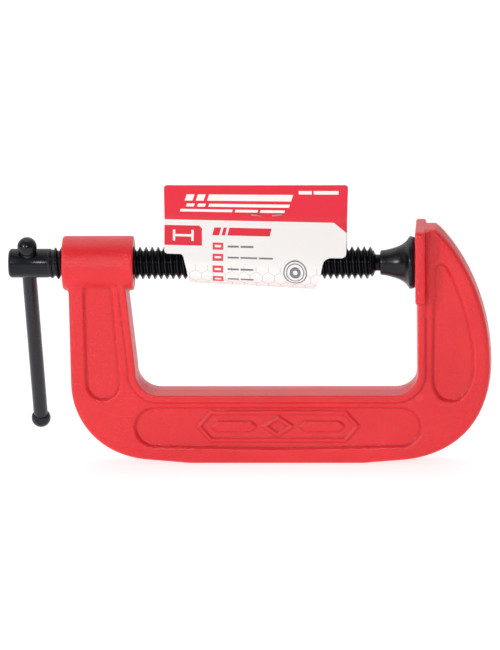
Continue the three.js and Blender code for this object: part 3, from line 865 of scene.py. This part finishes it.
slope = add(tree, "ShaderNodeVectorMath", {0: folded.outputs[0], 1: (0.5, math.sqrt(3) / 2, 0)},
            operation="DOT_PRODUCT")
sides = add(tree, "ShaderNodeSeparateXYZ", {"Vector": folded.outputs[0]})
rim_value = add(tree, "ShaderNodeMath", {0: slope.outputs["Value"], 1: sides.outputs["X"]},
                operation="MAXIMUM")
printed = ink(paper.outputs["Color"], "#D3D1D4", within(rim_value.outputs[0], [(0.47, 0.6)]),
              within(DOWN, [(34, 44.8), (50, 60)]))

HEADER = 15.1  # depth of the red header
printed = ink(printed, RED, within(DOWN, [(-1, HEADER), (STRIP - HEADER, STRIP + 1)]))
printed = ink(printed, RED, within(DOWN, [(HEADER - 0.1, HEADER + 4)]),
              within(slanted(-1.25), [(24.5 - 1.25 * HEADER, 40)]))
printed = ink(printed, RED, within(DOWN, [(17.5, 25.9)]), within(ACROSS, [(-60, -29.8)]))
printed = ink(printed, PAPER, within(DOWN, [(17.4, 18.9)]),
              within(slanted(-1), [(-31 - 17.5, -10)]))
# The header's plain bars, and a dimension mark in the size panel.
printed = ink(printed, PAPER, within(DOWN, [(3.9, 6.6)]),
              within(slanted(0.35), [(-34.6, -31.4), (-30, -26.8), (-25.4, 9.2)]))
printed = ink(printed, PAPER, within(DOWN, [(7.9, 9.2)]),
              within(slanted(0.35), [(-33.2, -30), (-28.6, -25.4), (-24, 9.2)]))
printed = ink(printed, PAPER, within(DOWN, [(10.3, 11.4)]),
              within(slanted(0.35), [(-35, -13.5), (-12.4, -3), (-2, 8)]))
printed = ink(printed, PAPER, within(DOWN, [(2.3, 3.7)]),
              within(ACROSS, [(10.1, 15.5), (16.3, 26.5)]))
printed = ink(printed, PAPER, within(DOWN, [(21.2, 22.2)]), within(ACROSS, [(-41, -34)]))
printed = ink(printed, PAPER, within(DOWN, [(19.4, 24)]),
              within(ACROSS, [(-41.8, -40.8), (-34.2, -33.2)]))
# The headline bar, four small panels, and a plain grey bar of type beside each.
printed = ink(printed, RED, within(DOWN, [(18.1, 21.4)]),
              within(slanted(0.25), [(-20.2, -17.4), (-16.4, -15), (-14, 3.4)]))
icons = [(24.4, 27.4), (29.1, 32.1), (34.0, 36.9), (38.6, 41.5)]
printed = ink(printed, "#E8414C", within(DOWN, icons), within(ACROSS, [(-25.4, -21)]))
printed = ink(printed, PAPER, within(DOWN, [(a + 1, b - 1) for a, b in icons]),
              within(ACROSS, [(-24.5, -21.9)]))
printed = ink(printed, GREY, within(DOWN, [(25.55, 26.35), (34.95, 35.7), (39.4, 40.2)]),
              within(ACROSS, [(-19.2, -14.6), (-13.9, -8.6)]))
printed = ink(printed, GREY, within(DOWN, [(30.2, 31)]),
              within(ACROSS, [(-19.2, -14.6), (-13.9, -7), (-6.3, -0.6)]))
# A round mark: a ring round a plain nut.
centre = add(tree, "ShaderNodeVectorMath", {0: sheet, 1: (8.6, 35.9, 0)}, operation="DISTANCE")
printed = ink(printed, "#7D7B80", within(centre.outputs["Value"],
                                         [(4.35, 4.9), (3.3, 3.75), (0.95, 2.3)]))
# A dull mauve band round the bottom of the fold: painted shade where the loop turns under.
printed = ink(printed, "#CB5A70", within(DOWN, [(45.7, 49.5)]))
printed = ink(printed, GREY, within(DOWN, [(63, 64), (66, 67), (69, 70), (72, 73)]),
              within(ACROSS, [(-38, -12), (-8, 20)]))
tooth_bump = add(tree, "ShaderNodeBump", {"Height": fibre.outputs["Fac"],
                                          "Distance": 0.01 * MM, "Strength": 0.3})
tree.links.new(printed, shader.inputs["Base Color"])
tree.links.new(tooth_bump.outputs["Normal"], shader.inputs["Normal"])
shader.inputs["Roughness"].default_value = 0.48
shader.inputs["Specular IOR Level"].default_value = 0.35

# The bare grey-white board at its cut edges and inside the fold.
board, tree, shader, place = new_material("uncoated board, cut edge")
fluff = add(tree, "ShaderNodeTexNoise", {"Vector": place, "Scale": 1 / (0.25 * MM), "Detail": 4})
stock = add(tree, "ShaderNodeValToRGB", {"Fac": fluff.outputs["Fac"]})
stock.color_ramp.elements[0].color = linear("#CFCBC6")
stock.color_ramp.elements[1].color = linear("#E6E3DF")
tree.links.new(stock.outputs["Color"], shader.inputs["Base Color"])
shader.inputs["Roughness"].default_value = 0.85

card.name = "printed_hang_card"
card.data.materials.clear()
card.data.materials.append(print_finish)
card.data.materials.append(board)
modify(card, "SOLIDIFY", thickness=BOARD * MM, offset=0, use_even_offset=True,
       material_offset=1, material_offset_rim=1)
select(card)
bpy.ops.object.shade_smooth_by_angle(angle=math.radians(40))
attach(card, "frame")
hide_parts("hang_card")
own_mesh(card)

# ---- Staple ----
# A zinc-plated steel wire staple: its crown is behind the card, and its two legs come
# through and are clinched inwards in front.
staple_low, staple_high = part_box("staple")
WIRE = 0.3
STAPLE_Z = (staple_low.z + staple_high.z) / 2 / MM
leg_left, leg_right = staple_low.x / MM + WIRE, staple_high.x / MM - WIRE
back, front = 0.55 + WIRE, -0.62 - WIRE  # the wire's middle, behind and before the card
bend = 0.55  # radius of the wire's middle round each corner


def clinched(x, inwards):
    """One leg's points, from where the crown turns to the leg's clinched tip."""
    around = [(x + inwards * (bend - px), back - bend + py)
              for px, py in arc(0, 0, bend, 90, 0, 5)]
    folded_over = [(x + inwards * (bend - px), front + bend + py)
                   for px, py in arc(0, 0, bend, 0, -90, 5)]
    tip = [(x + inwards * 2.4, front - 0.06), (x + inwards * 3.4, front + 0.02),
           (x + inwards * 4, front + 0.2)]
    drop = [0] * len(around + folded_over) + [-0.12, -0.2, -0.3]
    return [(px, py, STAPLE_Z + dz) for (px, py), dz in zip(around + folded_over + tip, drop)]


path = clinched(leg_left, 1)[::-1] + clinched(leg_right, -1)
bpy.ops.object.select_all(action="DESELECT")
bpy.ops.curve.primitive_bezier_curve_add()
staple = bpy.context.object
staple.data.splines.clear()
spline = staple.data.splines.new("POLY")
spline.points.add(len(path) - 1)
for point, spot in zip(spline.points, path):
    point.co = (*(Vector(spot) * MM), 1)
staple.data.bevel_depth = WIRE * MM
staple.data.bevel_resolution = 4
staple.data.use_fill_caps = True
bpy.ops.object.convert(target="MESH")
staple = bpy.context.object
bpy.ops.object.mode_set(mode="EDIT")
bpy.ops.mesh.select_all(action="SELECT")
bpy.ops.mesh.remove_doubles(threshold=MM / 1000)
bpy.ops.object.mode_set(mode="OBJECT")

zinc, tree, shader, place = new_material("zinc-plated steel wire")
drawn = add(tree, "ShaderNodeTexNoise", {"Vector": place, "Scale": 1 / (0.5 * MM), "Detail": 3})
dull = add(tree, "ShaderNodeMapRange", {"Value": drawn.outputs["Fac"], "To Min": 0.25,
                                        "To Max": 0.5})
tree.links.new(dull.outputs["Result"], shader.inputs["Roughness"])
shade = add(tree, "ShaderNodeValToRGB", {"Fac": drawn.outputs["Fac"]})
shade.color_ramp.elements[0].color = linear("#8D8E90")
shade.color_ramp.elements[1].color = linear("#C4C5C7")
tree.links.new(shade.outputs["Color"], shader.inputs["Base Color"])
shader.inputs["Metallic"].default_value = 1
dress(staple, "wire_staple", zinc, 40)
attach(staple, "frame")
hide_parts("staple")
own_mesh(staple)
